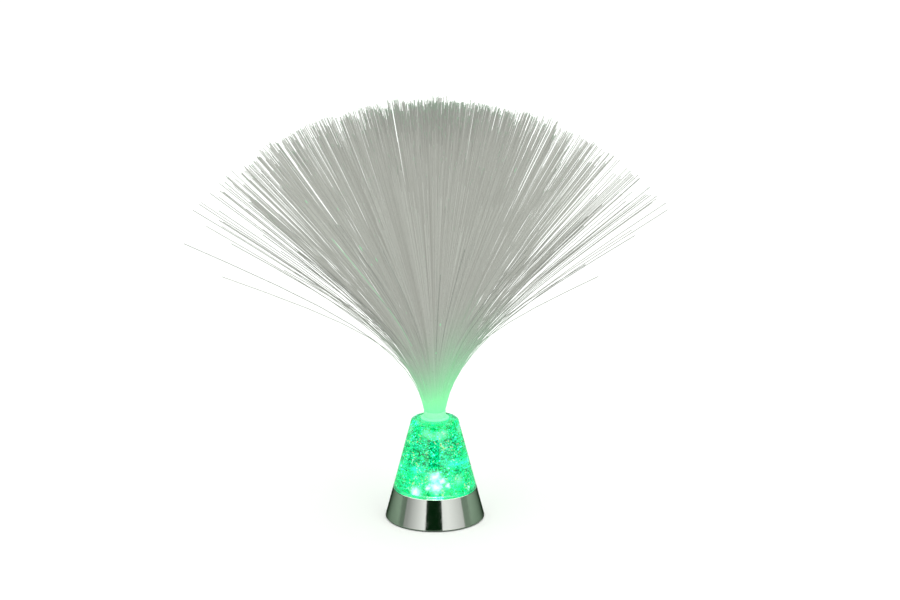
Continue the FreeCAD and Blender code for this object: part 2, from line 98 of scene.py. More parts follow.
def add_node(tree, kind, inputs=(), stops=(), **settings):
    """One node. Its inputs come in socket order or by name, each a value or the socket that feeds it."""
    node = tree.nodes.new(kind)
    for name, value in settings.items():
        setattr(node, name, value)
    named = inputs if isinstance(inputs, dict) else dict(enumerate(inputs))
    for name, value in named.items():
        if isinstance(value, bpy.types.NodeSocket):
            tree.links.new(value, node.inputs[name])
        else:
            node.inputs[name].default_value = value
    for number, (position, colour) in enumerate(stops):
        shades = node.color_ramp.elements
        shade = shades[number] if number < 2 else shades.new(position)
        shade.position = position
        shade.color = linear(colour)
    return node


print("helpers ready, white is", linear("#FFFFFF")[:3])

# %% [markdown]
# ## What every finish starts with
# Each finish is a Principled shader. Its patterns read Object coordinates, which are the piece's own metres,
# so a grain of 2 mm stays 2 mm on every piece. Nearly all real skins have a grain that can be felt, which
# a bump gives, and a colour that varies a little with it, so both are helpers too.
# %% Finish helpers
finishes = {}
GRAIN_LOW = 0.3
GRAIN_HIGH = 0.7


def start_finish(name, **sockets):
    """A new material: its tree, its shader and the Object coordinates that its patterns read."""
    material = bpy.data.materials.new(name)
    material.use_nodes = True
    tree = material.node_tree
    shader = tree.nodes["Principled BSDF"]
    for socket, value in sockets.items():
        shader.inputs[socket.replace("_", " ")].default_value = value
    place = add_node(tree, "ShaderNodeTexCoord").outputs["Object"]
    finishes[name] = material
    return tree, shader, place


def grain(tree, shader, place, size, depth, kind="ShaderNodeTexNoise", **settings):
    """A bump of one grain size in mm and one depth in mm, and the pattern that makes it."""
    pattern = add_node(tree, kind, {"Vector": place, "Scale": 1 / (size * MM)}, **settings)
    height = pattern.outputs[0]
    bump = add_node(tree, "ShaderNodeBump", {"Height": height, "Distance": depth * MM, "Strength": 1.0})
    tree.links.new(bump.outputs["Normal"], shader.inputs["Normal"])
    return height


def mottle(tree, socket, pattern, dark, light, low=GRAIN_LOW, high=GRAIN_HIGH):
    """Gives a socket a colour that follows a pattern from dark to light."""
    shades = add_node(tree, "ShaderNodeValToRGB", {"Fac": pattern}, stops=((low, dark), (high, light)))
    tree.links.new(shades.outputs["Color"], socket)


print("grain runs from", GRAIN_LOW, "to", GRAIN_HIGH)

# %% [markdown]
# ## A helper for turned pieces
# The base, the vessel and the collar are all turned shapes. On a lathe a profile sweeps round an axis. Here a
# circle is added and raised ring by ring: each extrusion is moved up and resized, which leaves clean quads.
# The last ring meets the first, or ends in a point on the axis, and merging by distance closes the surface.
# A wide face that is shaded smooth next to a small rounding looks bent all over, so two extra rings are put
# close to each corner: they hold the wide face flat up to its edge.
# %% Holding rings
NEAR_AXIS = 0.004
HOLDING_REACH = 2.2


def with_holding_rings(rings, reach):
    """The profile with one more ring on each side of every corner that has room for it."""
    held = [rings[0]]
    for start, stop in zip(rings[:-1], rings[1:]):
        length = math.dist(start, stop)
        if length > 3 * reach:
            for way in (reach / length, 1 - reach / length):
                held.append(tuple(a + (b - a) * way for a, b in zip(start, stop)))
        held.append(stop)
    return held


print("holding rings ready, as in", with_holding_rings([(0, 0), (0, 10)], 1))

# %% [markdown]
# ## Turning a piece
# The profile's edges are rounded by a bevel at the end, because no moulded or plated edge is sharp, and a
# rounded edge is what catches the light. The doubles are merged and the faces turned outwards before that.
# %% Turned pieces
MERGE = 0.01
ROUNDING_STEPS = 3
SHARP = math.radians(12)
SMOOTH = math.radians(35)


def turned(name, places, edge=0.25, around=192):
    """A closed turned piece from its profile of (radius, height) places in mm, its edges rounded."""
    bpy.ops.object.select_all(action="DESELECT")
    rings = [(max(r, NEAR_AXIS), z) for r, z in places]
    if places[0][0] > 0:
        rings.append(rings[0])
    rings = with_holding_rings(rings, HOLDING_REACH * edge)
    radius, height = rings[0]
    bpy.ops.mesh.primitive_circle_add(vertices=around, radius=radius * MM, location=(0, 0, height * MM))
    piece = bpy.context.object
    piece.name = piece.data.name = name
    bpy.ops.object.transform_apply(location=True, rotation=True, scale=True)
    bpy.ops.object.mode_set(mode="EDIT")
    bpy.ops.mesh.select_all(action="SELECT")
    for next_radius, next_height in rings[1:]:
        lift = (0, 0, (next_height - height) * MM)
        bpy.ops.mesh.extrude_region_move(TRANSFORM_OT_translate={"value": lift})
        grow = next_radius / radius
        bpy.ops.transform.resize(value=(grow, grow, 1), center_override=(0, 0, next_height * MM))
        radius, height = next_radius, next_height
    bpy.ops.mesh.select_all(action="SELECT")
    bpy.ops.mesh.remove_doubles(threshold=MERGE * MM)
    bpy.ops.mesh.normals_make_consistent(inside=False)
    bpy.ops.object.mode_set(mode="OBJECT")
    rounding = piece.modifiers.new("rounding", "BEVEL")
    rounding.width = edge * MM
    rounding.segments = ROUNDING_STEPS
    rounding.limit_method = "ANGLE"
    rounding.angle_limit = SHARP
    bpy.ops.object.modifier_apply(modifier=rounding.name)
    bpy.ops.object.shade_smooth_by_angle(angle=SMOOTH)
    print(name, "has", len(piece.data.polygons), "faces")
    return piece


def dress(piece, finish, body, *nodes):
    """Gives a piece its finish and its body, and hides the CAD nodes that it stands for."""
    piece.data.materials.clear()
    piece.data.materials.append(finishes[finish])
    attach(piece, body)
    if nodes:
        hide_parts(*nodes)


print("lathe ready, edges rounded in", ROUNDING_STEPS, "steps")

# %% [markdown]
# ## Sizes from the frame
# The frame gives the corners of each CAD node. The base and the vessel share one cone, whose half angle is
# 14.6 degrees, so a new piece can follow it at any height.
# %% Read the sizes
def corners(node):
    """Lowest and highest corner of a CAD node in mm."""
    low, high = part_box(node)
    return low / MM, high / MM


shell_low, shell_high = corners("base_shell")
vessel_low, vessel_high = corners("vessel")
floor_high = corners("vessel_floor")[1]
collar_low, collar_high = corners("bundle_plug")
CONE_HALF_ANGLE = math.radians(14.6)
CONE_SLOPE = math.tan(CONE_HALF_ANGLE)
foot_radius = shell_high.x + CONE_SLOPE * shell_low.z


def cone(height):
    """The outer cone's radius at a height, both in mm."""
    return foot_radius - CONE_SLOPE * height


print("foot radius", round(foot_radius, 2), "vessel top", round(vessel_high.z, 2))

# %% [markdown]
# ## Plated ABS
# The base is moulded in ABS and plated with copper, nickel and a thin bright chrome. It mirrors the studio,
# a little softer than polished steel, because the moulded skin has a faint orange peel some 9 mm across.
# Where hands have rubbed it, the gloss varies. The tint at a flat angle keeps its edges from mirroring pure
# white.
# %% Plated ABS finish
tree, shader, place = start_finish("plated_abs", Metallic=1.0, Roughness=0.1)
shader.inputs["Base Color"].default_value = linear("#E9ECE6")
shader.inputs["Specular Tint"].default_value = linear("#3A4A3C")
ORANGE_PEEL = 9.0
ORANGE_PEEL_DEPTH = 0.004
RUB_SIZE = 2.5
grain(tree, shader, place, ORANGE_PEEL, ORANGE_PEEL_DEPTH)
rub = add_node(tree, "ShaderNodeTexNoise", {"Vector": place, "Scale": 1 / (RUB_SIZE * MM), "Detail": 6.0})
gloss = add_node(tree, "ShaderNodeMapRange", (rub.outputs["Fac"], GRAIN_LOW, GRAIN_HIGH, 0.07, 0.14))
tree.links.new(gloss.outputs["Result"], shader.inputs["Roughness"])
print("plated ABS, orange peel of", ORANGE_PEEL, "mm")

# %% [markdown]
# ## The base shell
# A hollow plated cone with a ledge inside that the vessel sits on. The wall is drawn as one closed profile,
# outside up and inside down, so its rim has a real thickness when the lamp is seen from below.
# %% Base shell
SHELL_WALL = 1.8
SHELL_ROUND = 0.3
SEAT_RADIUS = 30.1
LEDGE_TOP = 21.8
LEDGE_UNDER = 20.3
LEDGE_RADIUS = 26.9
FINE_TURN = 256
shell_top = shell_high.z
shell_foot = shell_low.z
base_shell = turned(
    "plated_shell",
    [
        (cone(shell_foot), shell_foot),
        (cone(shell_top), shell_top),
        (SEAT_RADIUS, shell_top),
        (SEAT_RADIUS, LEDGE_TOP),
        (LEDGE_RADIUS, LEDGE_TOP),
        (LEDGE_RADIUS, LEDGE_UNDER),
        (cone(LEDGE_UNDER) - SHELL_WALL, LEDGE_UNDER),
        (cone(shell_foot) - SHELL_WALL, shell_foot),
    ],
    edge=SHELL_ROUND,
    around=FINE_TURN,
)
dress(base_shell, "plated_abs", "base", "base_shell")

# %% [markdown]
# ## Clear acrylic
# The vessel is moulded acrylic: water clear, with an IOR of 1.49 and a glossy skin. The flow of the melt
# leaves very faint waves some 7 mm across, which bend what is seen through it. Its foot stands in the base
# next to the diodes, and like every clear sheet that is lit from its edge it glows there. That glow is
# painted on: a green emission near the foot stands in for the diodes' light.
# %% Clear acrylic finish
tree, shader, place = start_finish("clear_acrylic", Roughness=0.015, IOR=1.49)
shader.inputs["Transmission Weight"].default_value = 1.0
shader.inputs["Base Color"].default_value = linear("#F4FFF8")
shader.inputs["Emission Color"].default_value = linear("#00D985")
FLOW_WAVES = 7.0
PAINTED_FOOT_GLOW = 0.1
GLOW_FROM = 24.5
GLOW_TO = 27.5
grain(tree, shader, place, FLOW_WAVES, 0.01)
height = add_node(tree, "ShaderNodeSeparateXYZ", {"Vector": place}).outputs["Z"]
# Painted glow: green emission near the foot, fading out from 24.5 to 27.5 mm.
painted_glow = add_node(tree, "ShaderNodeMapRange", (height, GLOW_FROM * MM, GLOW_TO * MM, PAINTED_FOOT_GLOW, 0.0))
tree.links.new(painted_glow.outputs["Result"], shader.inputs["Emission Strength"])
print("clear acrylic, glowing up to", GLOW_TO, "mm")

# %% [markdown]
# ## The vessel
# One closed profile again: from the blind socket in the roof, out over the top, down the cone, round the
# spigot and up inside the cavity. The thick wall is what makes the fluid seem to fill the vessel to its edge.
# %% Vessel
VESSEL_WALL = 3.6
SOCKET = 9.1
SOCKET_FLOOR = 65.4
SOCKET_OUTSIDE = 11.0
SOCKET_UNDER = 63.9
ROOF = 3.2
CAVITY_TOP = vessel_high.z - ROOF
TOP_EDGE = 1.2
FLOOR_TOP = 24.9
SPIGOT_WALL = 1.2
GLUE_GAP = 0.1
VESSEL_ROUND = 0.35
seat = floor_high.x + GLUE_GAP
vessel = turned(
    "clear_vessel",
    [
        (0, SOCKET_FLOOR),
        (SOCKET, SOCKET_FLOOR),
        (SOCKET, vessel_high.z),
        (cone(vessel_high.z) - TOP_EDGE, vessel_high.z),
        (cone(vessel_high.z - TOP_EDGE), vessel_high.z - TOP_EDGE),
        (vessel_high.x, shell_top),
        (seat + SPIGOT_WALL, shell_top),
        (seat + SPIGOT_WALL, vessel_low.z),
        (seat, vessel_low.z),
        (seat, FLOOR_TOP),
        (cone(FLOOR_TOP) - VESSEL_WALL, FLOOR_TOP),
        (cone(CAVITY_TOP) - VESSEL_WALL, CAVITY_TOP),
        (SOCKET_OUTSIDE, CAVITY_TOP),
        (SOCKET_OUTSIDE, SOCKET_UNDER),
        (0, SOCKET_UNDER),
    ],
    edge=VESSEL_ROUND,
    around=FINE_TURN,
)
dress(vessel, "clear_acrylic", "base", "vessel")

# %% [markdown]
# ## Painted bright patches on the fluid
# The diodes' light leaves the vessel's wall in patches, which are painted on the fluid as glow. Low down, some
# are so bright that they burn out to white, and high up the socket's underside shows as a softer, paler band.
# The narrow stack at -47 degrees is a painted reflection of a soft box. Each patch is given as its turn from
# the front in degrees, its height and its size in mm, and is placed on the cone a wall's thickness inside.
# %% Painted bright patches
PAINTED_HOT_SPOTS = (
    (0, 39.0, 4.4),
    (2, 32.0, 4.8),
    (-11, 31.0, 2.2),
    (13, 36.0, 2.6),
    (22, 32.5, 1.6),
    (-31, 27.0, 3.9),
    (62, 27.0, 1.4),
    (-47, 47.5, 0.7),
    (-47, 49.5, 0.9),
    (-46, 52.0, 0.7),
    (24, 41.0, 0.7),
    (25, 45.0, 0.6),
    (-80, 41.0, 1.0),
    (100, 36.0, 3.2),
    (128, 27.0, 2.6),
    (165, 33.0, 4.0),
    (-166, 28.0, 3.2),
    (-120, 30.0, 3.6),
    (-138, 46.0, 1.0),
)
PAINTED_SOFT_SPOTS = (
    (-24, 70.5, 2.8),
    (-8, 69.0, 3.2),
    (9, 69.0, 3.2),
    (24, 70.0, 2.8),
    (44, 35.0, 3.6),
    (80, 69.5, 3.2),
    (98, 70.0, 2.8),
    (140, 38.0, 3.0),
    (165, 69.0, 3.2),
    (182, 69.5, 3.4),
    (-82, 69.5, 3.2),
    (-100, 69.0, 2.8),
)


def on_the_cone(turn, height, inset):
    """A place at an angle from the front and a height in mm, drawn in from the outer cone."""
    out = cone(height) - inset
    return (out * math.sin(math.radians(turn)) * MM, -out * math.cos(math.radians(turn)) * MM, height * MM)


print(len(PAINTED_HOT_SPOTS), "hot and", len(PAINTED_SOFT_SPOTS), "soft patches")

# %% [markdown]
# ## Lit fluid
# The fluid itself is clear. Lit from below by the green diode, it shows as a vivid green, mottled by the fine
# glitter that is too small to model. Here that green is painted: the clear fluid gets a green tint and a green
# emission that stand in for the diode's light. The glitter is drawn coarser than it is, as cells some 0.9 mm
# across, each dark, green, pale or gold by chance, and they glow: the dark ones are painted shade and the pale
# and gold ones painted glints. The glitter drifts in clouds some 9 mm across, which shift the chance.
# %% Fluid finish
FLUID_CLOUDS = 9.0
FLUID_SPECKS = 0.9
CLOUD_MIDDLE = 0.55
CLOUD_SWAY = 1.3
SPECK_SHADES = (
    (0.0, "#085230"),
    (0.3, "#079062"),
    (0.48, "#00E6A8"),
    (0.8, "#08FFCC"),
    (0.9, "#70FFE4"),
    (0.96, "#F0FFF8"),
    (1.0, "#FFE9A8"),
)
tree, shader, place = start_finish("fluid", Roughness=0.02, IOR=1.38)
shader.inputs["Transmission Weight"].default_value = 1.0
# Painted light: this green tint stands in for the diode's light in a clear fluid.
shader.inputs["Base Color"].default_value = linear("#08BC78")
cloud_inputs = {"Vector": place, "Scale": 1 / (FLUID_CLOUDS * MM), "Detail": 5.0}
clouds = add_node(tree, "ShaderNodeTexNoise", cloud_inputs)
specks = add_node(tree, "ShaderNodeTexVoronoi", {"Vector": place, "Scale": 1 / (FLUID_SPECKS * MM)})
chance = add_node(tree, "ShaderNodeSeparateColor", {"Color": specks.outputs["Color"]}).outputs["Red"]
drift = add_node(tree, "ShaderNodeMath", (clouds.outputs["Fac"], CLOUD_MIDDLE), operation="SUBTRACT")
lit = add_node(tree, "ShaderNodeMath", (drift.outputs[0], CLOUD_SWAY, chance), operation="MULTIPLY_ADD")
# Painted glints and shade: these speck shades feed the fluid's glow further down.
speckled = add_node(tree, "ShaderNodeValToRGB", {"Fac": lit.outputs[0]}, stops=SPECK_SHADES)
print("specks of", FLUID_SPECKS, "mm in", len(SPECK_SHADES), "shades")

# %% [markdown]
# The painted bright patches come on top. The distance to each patch's middle gives how brightly it is painted,
# and the brightest one counts. The place is first pushed about by a noise, up to 2.5 mm each way, which tears
# the round edges.
# %% Painted light on the fluid
TORN_SIZE = 3.2
TORN_REACH = 5.0
SPOT_INSET = 3.6
SPOT_HEART = 0.3
SPOT_RIM = 1.6
HOT = 1.0
SOFT = 0.42
COOL_GLOW = 0.5
HOT_GLOW = 1.8
ragged = add_node(tree, "ShaderNodeTexNoise", {"Vector": place, "Scale": 1 / (TORN_SIZE * MM), "Detail": 4.0})
tear = (ragged.outputs["Color"], (0.5, 0.5, 0.5))
push = add_node(tree, "ShaderNodeVectorMath", tear, operation="SUBTRACT")
reach = (TORN_REACH * MM,) * 3
torn = add_node(tree, "ShaderNodeVectorMath", (push.outputs[0], reach, place), operation="MULTIPLY_ADD")
painted_brightness = 0.0
# Painted light: each patch adds emission to the fluid, and none of it comes from a lamp.
for spots, most in ((PAINTED_HOT_SPOTS, HOT), (PAINTED_SOFT_SPOTS, SOFT)):
    for turn, spot_height, size in spots:
        spot = on_the_cone(turn, spot_height, SPOT_INSET)
        away = add_node(tree, "ShaderNodeVectorMath", (torn.outputs[0], spot), operation="DISTANCE")
        edges = (SPOT_HEART * size * MM, SPOT_RIM * size * MM, most, 0.0)
        painted_spot = add_node(tree, "ShaderNodeMapRange", (away.outputs["Value"], *edges))
        brightest_painted_spot = add_node(tree, "ShaderNodeMath", (painted_brightness, painted_spot.outputs[0]), operation="MAXIMUM")
        painted_brightness = brightest_painted_spot.outputs[0]
colours = {"Factor": painted_brightness, 6: speckled.outputs["Color"], 7: linear("#D0FFF8")}
painted_glow = add_node(tree, "ShaderNodeMix", colours, data_type="RGBA")
tree.links.new(painted_glow.outputs[2], shader.inputs["Emission Color"])
fierce = add_node(tree, "ShaderNodeMath", (painted_brightness, 2.0), operation="POWER")
strength = add_node(tree, "ShaderNodeMapRange", (fierce.outputs[0], 0.0, 1.0, COOL_GLOW, HOT_GLOW))
tree.links.new(strength.outputs[0], shader.inputs["Emission Strength"])
print("lit fluid, glowing from", COOL_GLOW, "to", HOT_GLOW)

# %% [markdown]
# ## The fluid
# The fluid fills the cavity up to its walls, round the socket above and the diode well below. It is a solid
# of its own, so that light bends again where it passes from the wall into the fluid. It goes 0.05 mm into the
# wall, because a film of air between them would mirror the studio instead of showing the fluid.
# %% Glitter fluid
WELL = 9.1
GAP = -0.05
well_top = floor_high.z
FLUID_ROUND = 0.2
fluid_floor = FLOOR_TOP + GAP
fluid_top = CAVITY_TOP - GAP
fluid = turned(
    "glitter_fluid_body",
    [
        (0, SOCKET_UNDER - GAP),
        (SOCKET_OUTSIDE + GAP, SOCKET_UNDER - GAP),
        (SOCKET_OUTSIDE + GAP, fluid_top),
        (cone(fluid_top) - VESSEL_WALL - GAP, fluid_top),
        (cone(fluid_floor) - VESSEL_WALL - GAP, fluid_floor),
        (WELL + GAP, fluid_floor),
        (WELL + GAP, well_top + GAP),
        (0, well_top + GAP),
    ],
    edge=FLUID_ROUND,
)
dress(fluid, "fluid", "base", "glitter_fluid")

# %% [markdown]
# ## Glitter film
# Glitter is cut from film with a thin coat of metal. A flake that faces the light flashes white or gold, one
# that is turned away is dark, and the rest take the green of what is round them. Here the flash and the dark
# are painted, not lit: each flake keeps one number from 0 to 1 by chance, and the ramp turns it into one of
# six plain shades, with no blend between them, which also glow as painted glints.
# %% Glitter finish
FLAKE_SHADES = (
    (0.0, "#0A5A2C"),
    (0.3, "#12B060"),
    (0.55, "#3CFFA0"),
    (0.8, "#B8FFE8"),
    (0.9, "#FFFFFF"),
    (0.95, "#FFD98A"),
)
tree, shader, place = start_finish("glitter", Metallic=0.6, Roughness=0.25)
tone = add_node(tree, "ShaderNodeAttribute", attribute_name="tone").outputs["Fac"]
painted_flash = add_node(tree, "ShaderNodeValToRGB", {"Fac": tone}, stops=FLAKE_SHADES)
painted_flash.color_ramp.interpolation = "CONSTANT"
tree.links.new(painted_flash.outputs["Color"], shader.inputs["Base Color"])
# Painted glints: the flake's shade also glows, up to 3.5 times.
tree.links.new(painted_flash.outputs["Color"], shader.inputs["Emission Color"])
strength = add_node(tree, "ShaderNodeMapRange", (tone, 0.3, 1.0, 0.1, 3.5))
tree.links.new(strength.outputs[0], shader.inputs["Emission Strength"])
grain(tree, shader, place, 0.4, 0.01)
print("glitter in", len(FLAKE_SHADES), "shades")

# %% [markdown]
# ## Where the flakes float
# Most flakes may float anywhere in the fluid that leaves the diode's well and the socket free. Glitter also
# gathers under the fluid's top, so the first few go there. The square root spreads them evenly over a disc.
# %% Places for flakes
FIRST_FLAKES = 48
GATHERED_FLAKES = 2
UNDER_THE_TOP = 0.6
CLEAR_OF_ENDS = 1.5
CLEAR_OF_WALL = 0.8
CLEAR_OF_WELL = 1.0
CLEAR_OF_SOCKET = 2.0
draw = random.Random(11)


def flake_place(gathered):
    """Where one flake floats, in mm: how far out and how high."""
    height = fluid_top - UNDER_THE_TOP
    if not gathered:
        height = draw.uniform(fluid_floor + CLEAR_OF_ENDS, fluid_top - CLEAR_OF_ENDS)
    widest = cone(height) - VESSEL_WALL - CLEAR_OF_WALL
    narrowest = 0
    if gathered:
        narrowest = widest - 1
    elif height < well_top + CLEAR_OF_WELL:
        narrowest = WELL + CLEAR_OF_WELL
    elif height > SOCKET_UNDER - CLEAR_OF_SOCKET:
        narrowest = SOCKET_OUTSIDE + 1
    return narrowest + (widest - narrowest) * math.sqrt(draw.random()), height


print("flakes float up to", round(fluid_top - UNDER_THE_TOP, 2), "mm")

# %% [markdown]
# ## The flakes
# One flake is a six-sided disc. Forty-eight are placed by a seeded draw, and the set is copied and turned by
# about the golden angle again and again, so that no pattern shows. It starts from an emptied mesh, so that
# the discs can be added in edit mode and all end up in one piece.
# %% Glitter flakes
FLAKE_TURNS = 44
FLAKE_RADIUS = (0.25, 0.5)
FLAKE_THICKNESS = 0.06
FLAKE_SIDES = 6
GOLDEN_ANGLE = math.pi * (3 - math.sqrt(5))
bpy.ops.object.select_all(action="DESELECT")
bpy.ops.mesh.primitive_cylinder_add(vertices=FLAKE_SIDES, radius=MM, depth=MM)
flakes = bpy.context.object
flakes.name = flakes.data.name = "glitter_flakes"
bpy.ops.object.mode_set(mode="EDIT")
bpy.ops.mesh.select_all(action="SELECT")
bpy.ops.mesh.delete(type="VERT")
for number in range(FIRST_FLAKES):
    out, height = flake_place(number < GATHERED_FLAKES)
    turn = draw.uniform(0, 2 * math.pi)
    bpy.ops.mesh.primitive_cylinder_add(
        vertices=FLAKE_SIDES,
        radius=draw.uniform(*FLAKE_RADIUS) * MM,
        depth=FLAKE_THICKNESS * MM,
        location=(out * math.cos(turn) * MM, out * math.sin(turn) * MM, height * MM),
        rotation=(draw.uniform(0, math.pi), draw.uniform(0, math.pi), 0),
    )
    bpy.ops.mesh.select_all(action="SELECT")
for _ in range(FLAKE_TURNS):
    turn = GOLDEN_ANGLE + draw.uniform(-0.1, 0.1)
    bpy.ops.mesh.duplicate_move(TRANSFORM_OT_translate={"value": (0, 0, 0)})
    bpy.ops.transform.rotate(value=turn, orient_axis="Z", center_override=(0, 0, 0))
bpy.ops.object.mode_set(mode="OBJECT")
print("flakes:", len(flakes.data.vertices) // (2 * FLAKE_SIDES))

# %% [markdown]
# The flakes' numbers are kept as an attribute of the mesh, the same on all corners of one flake. The record
# has no row for glitter alone, which is sold as part of the fluid.
# %% Tones of the flakes
tones = flakes.data.attributes.new("tone", "FLOAT", "POINT")
corners_each = 2 * FLAKE_SIDES
values = np.repeat([draw.random() for _ in range(len(flakes.data.vertices) // corners_each)], corners_each)
tones.data.foreach_set("value", values.astype(np.float32))
dress(flakes, "glitter", "base")
print("brightest flake has tone", round(values.max(), 3))

# %% [markdown]
# ## The collar
# A translucent white collar holds the fibres. It is moulded in soft polyethylene, so it scatters the green
# light and glows evenly, palest at the neck. Its pale green colour and that glow are painted light, standing
# in for the diodes' light. Its skin is finely matt, with a grain of 0.8 mm.
# %% Collar finish
tree, shader, place = start_finish("collar_plastic", Roughness=0.38, IOR=1.5)
# Painted light: the green base colour and glow stand in for the diodes' light in white plastic.
shader.inputs["Base Color"].default_value = linear("#94DCAC")
PLUG_PAINTED_GLOW = 0.75
NECK_PAINTED_GLOW = 0.6
PLUG_ENDS = 77.0
NECK_STARTS = 80.0
height = add_node(tree, "ShaderNodeSeparateXYZ", {"Vector": place}).outputs["Z"]
rise = add_node(tree, "ShaderNodeMapRange", (height, PLUG_ENDS * MM, NECK_STARTS * MM, 0.0, 1.0)).outputs[0]
mottle(tree, shader.inputs["Emission Color"], rise, "#58F8B4", "#78F7A8", 0.0, 1.0)
strength = add_node(tree, "ShaderNodeMapRange", (rise, 0.0, 1.0, PLUG_PAINTED_GLOW, NECK_PAINTED_GLOW))
tree.links.new(strength.outputs[0], shader.inputs["Emission Strength"])
grain(tree, shader, place, 0.8, 0.01)
print("collar glows from", PLUG_PAINTED_GLOW, "to", NECK_PAINTED_GLOW)

# %% [markdown]
# ## The collar's shape
# Turned like the base: a plug that fits the vessel's socket with a little play, a flange that rests on the
# vessel's roof, and a neck round the fibres' feet. It is a tube, because the bundle goes down through it.
# %% Collar
PLUG_RADIUS = 8.8
NECK_RADIUS = 8.3
COLLAR_BORE = 7.6
FLANGE_THICKNESS = 1.2
COLLAR_ROUND = 0.3
collar = turned(
    "fibre_collar",
    [
        (COLLAR_BORE, collar_low.z),
        (PLUG_RADIUS, collar_low.z),
        (PLUG_RADIUS, vessel_high.z),
        (collar_high.x, vessel_high.z),
        (collar_high.x, vessel_high.z + FLANGE_THICKNESS),
        (NECK_RADIUS, vessel_high.z + FLANGE_THICKNESS),
        (NECK_RADIUS, collar_high.z),
        (COLLAR_BORE, collar_high.z),
    ],
    edge=COLLAR_ROUND,
)
dress(collar, "collar_plastic", "fibre_bundle", "bundle_plug")

# %% [markdown]
# ## How a fibre bends
# Some two thousand clear plastic fibres, each 234 mm long, are held at one end. Each leaves the collar nearly
# upright, flares out at its rim and bends outward under its own weight, more the further out it sits. The few
# at the very outside stray lowest. A fibre stays in one upright plane, so it is followed along its length in
# short steps, and its lean at each step moves it out and up. Points are kept only where the curve needs them.
# %% One fibre
FIBRE_START = 83.4
FIBRE_LENGTH = 234.0
ROOT_RADIUS = 7.35
LEAN = 45.7
LEAN_GROWS = 1.42
STRAY_LEAN = 15.0
STRAY_GROWS = 25
START_LEAN = math.radians(4.0)
FLARE = math.radians(24.0)
FLARE_ENDS = 2.5
BEND_LENGTH = 48.0
LONGEST_STEP = 4.0
STATIONS = (0, 2, 5, 9, 16, 25, 37, 52, 70, 92, 120, 155, 195, 1000)


def leaning(share, turn, more=1.0):
    """Where a fibre ends up leaning, as a flat vector whose length is the angle."""
    lean = math.radians(LEAN * share**LEAN_GROWS + STRAY_LEAN * share**STRAY_GROWS) * more
    return Vector((lean * math.cos(turn), lean * math.sin(turn)))


def fibre_points(share, turn, direction, length):
    """The places, in metres, that one fibre passes through."""
    lean = direction.length
    aim = direction.normalized()
    bend = BEND_LENGTH * (2 - share)
    out, up, reached, points = 0.0, FIBRE_START, 0.0, []
    x, y = ROOT_RADIUS * share * math.cos(turn), ROOT_RADIUS * share * math.sin(turn)
    for station in STATIONS:
        stop = min(station, length)
        steps = max(1, math.ceil((stop - reached) / LONGEST_STEP))
        run = (stop - reached) / steps
        for step in range(steps):
            middle = reached + (step + 0.5) * run
            flare = START_LEAN + FLARE * math.exp(-middle / FLARE_ENDS)
            angle = lean * (1 - math.exp(-middle / bend)) + flare * share
            out += math.sin(angle) * run
            up += math.cos(angle) * run
        reached = stop
        points.append(((x + aim.x * out) * MM, (y + aim.y * out) * MM, up * MM))
    return points


tip = fibre_points(1.0, 0.0, leaning(1.0, 0.0), FIBRE_LENGTH)[-1]
print("outermost tip in mm:", [round(c / MM, 1) for c in tip])

# %% [markdown]
# ## Bunches
# Real fibres cling together in small bunches, and the white gaps between the bunches open the outline. The
# CAD model has one bar for each bunch, set in rings with four arms. Their leans are worked out by the same
# rule, and each bunch also gets its own trim, because the bundle was cut by hand.
# %% Bunches
BUNCH_RINGS = 57
BUNCH_ARMS = 4
TRIM = 0.007
draw = random.Random(3)


def uneven(most):
    """A chance share of a size, kept from running far out."""
    return most * max(-2.0, min(1.6, draw.gauss(0, 1)))


bunches = np.array(
    [
        leaning(math.sqrt((ring + 0.5) / BUNCH_RINGS), (ring * GOLDEN_ANGLE + arm * 2 * math.pi) / BUNCH_ARMS)
        for ring in range(BUNCH_RINGS)
        for arm in range(BUNCH_ARMS)
    ]
)
bunch_trims = [uneven(TRIM) for _ in bunches]
print(len(bunches), "bunches")

